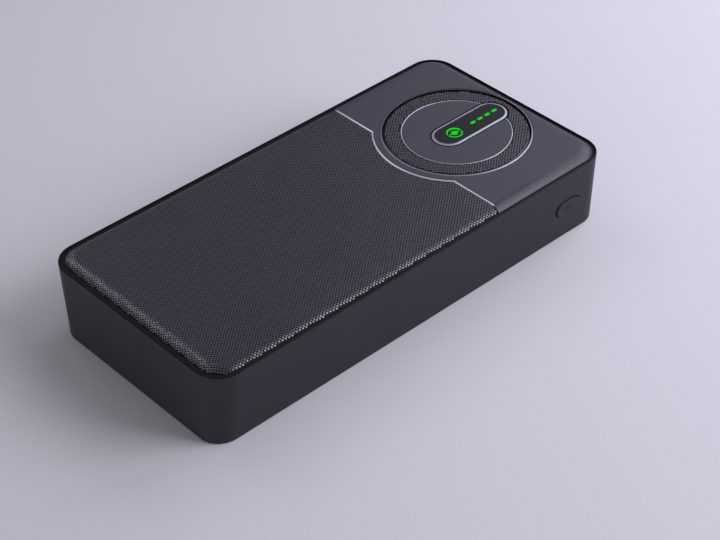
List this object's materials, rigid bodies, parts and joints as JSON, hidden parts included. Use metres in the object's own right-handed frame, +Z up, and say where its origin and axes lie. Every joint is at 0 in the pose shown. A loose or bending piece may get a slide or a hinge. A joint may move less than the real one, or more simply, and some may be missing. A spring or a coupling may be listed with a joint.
{
  "type": "power bank",
  "caption": "Slim rechargeable power bank with a textured top, a ringed charge display, a side power button and USB ports on one end.",
  "frame": {"origin": "middle of the flat underside, on the surface it stands on", "axes": "+X along the length towards the display and the ports, -Y is the side with the power button, +Z up through the display"},
  "size_m": [0.145, 0.072, 0.0248],
  "materials": {
    "bottom_case": "fine moulded matt",
    "top_cover": "matt black",
    "textured_panel": "fine moulded diamond lattice",
    "smooth_panel": "satin",
    "ring_trim": "satin bright edge",
    "textured_ring": "fine moulded diamond lattice",
    "ring_bead": "satin bright edge",
    "centre_disc": "satin",
    "display_bezel": "satin metallic paint",
    "display_window": "smoked, gloss",
    "level_bars": "lit green",
    "charge_symbol": "lit green",
    "light_baffle": "matt black",
    "light_pipes": "clear acrylic",
    "power_button": "fine moulded matt",
    "switch_plunger": "moulded",
    "switch_body": "moulded",
    "circuit_board": "green solder mask",
    "board_screws": "zinc plated",
    "usb_a_shell_left": "nickel plated",
    "usb_a_shell_right": "nickel plated",
    "usb_a_tongues": "moulded",
    "usb_a_contacts": "gold flash",
    "usb_c_shell": "nickel plated",
    "usb_c_tongue": "moulded",
    "micro_shell": "nickel plated",
    "micro_tongue": "moulded",
    "indicator_leds": "clear lens",
    "power_inductors": "pressed iron powder",
    "controller_chips": "moulded epoxy",
    "polymer_capacitors": "drawn can",
    "chip_capacitors": "sintered",
    "lower_cell": "laminated aluminium foil pouch",
    "upper_cell": "laminated aluminium foil pouch",
    "cell_tape": "double sided tape",
    "lower_foam_pad": "closed cell foam",
    "upper_foam_pad": "closed cell foam",
    "positive_strip": "nickel",
    "negative_strip": "nickel",
    "positive_lead": "red silicone insulation",
    "negative_lead": "black silicone insulation"
  },
  "bodies": {
    "case": {"bottom_case": "bottom_case", "top_cover": "top_cover", "textured_panel": "textured_panel", "smooth_panel": "smooth_panel", "ring_trim": "ring_trim", "textured_ring": "textured_ring", "ring_bead": "ring_bead", "centre_disc": "centre_disc", "display_bezel": "display_bezel", "display_window": "display_window", "level_bars": "level_bars", "charge_symbol": "charge_symbol", "light_baffle": "light_baffle", "light_pipes": "light_pipes", "switch_body": "switch_body", "circuit_board": "circuit_board", "board_screws": "board_screws", "usb_a_shell_left": "usb_a_shell_left", "usb_a_shell_right": "usb_a_shell_right", "usb_a_tongues": "usb_a_tongues", "usb_a_contacts": "usb_a_contacts", "usb_c_shell": "usb_c_shell", "usb_c_tongue": "usb_c_tongue", "micro_shell": "micro_shell", "micro_tongue": "micro_tongue", "indicator_leds": "indicator_leds", "power_inductors": "power_inductors", "controller_chips": "controller_chips", "polymer_capacitors": "polymer_capacitors", "chip_capacitors": "chip_capacitors", "lower_cell": "lower_cell", "upper_cell": "upper_cell", "cell_tape": "cell_tape", "lower_foam_pad": "lower_foam_pad", "upper_foam_pad": "upper_foam_pad", "positive_strip": "positive_strip", "negative_strip": "negative_strip", "positive_lead": "positive_lead", "negative_lead": "negative_lead"},
    "button": {"power_button": "power_button"},
    "plunger": {"switch_plunger": "switch_plunger"}
  },
  "joints": [
    {"name": "button_press", "type": "slide", "parent": "case", "child": "button", "axis": [0, 1, 0], "range_m": [0, 0.0004], "stiffness_N_per_m": 2500},
    {"name": "plunger_press", "type": "slide", "parent": "case", "child": "plunger", "axis": [0, 1, 0], "range_m": [0, 0.0004]}
  ],
  "couplings": [
    {"joint": "plunger_press", "follows": "button_press", "ratio": 1}
  ]
}
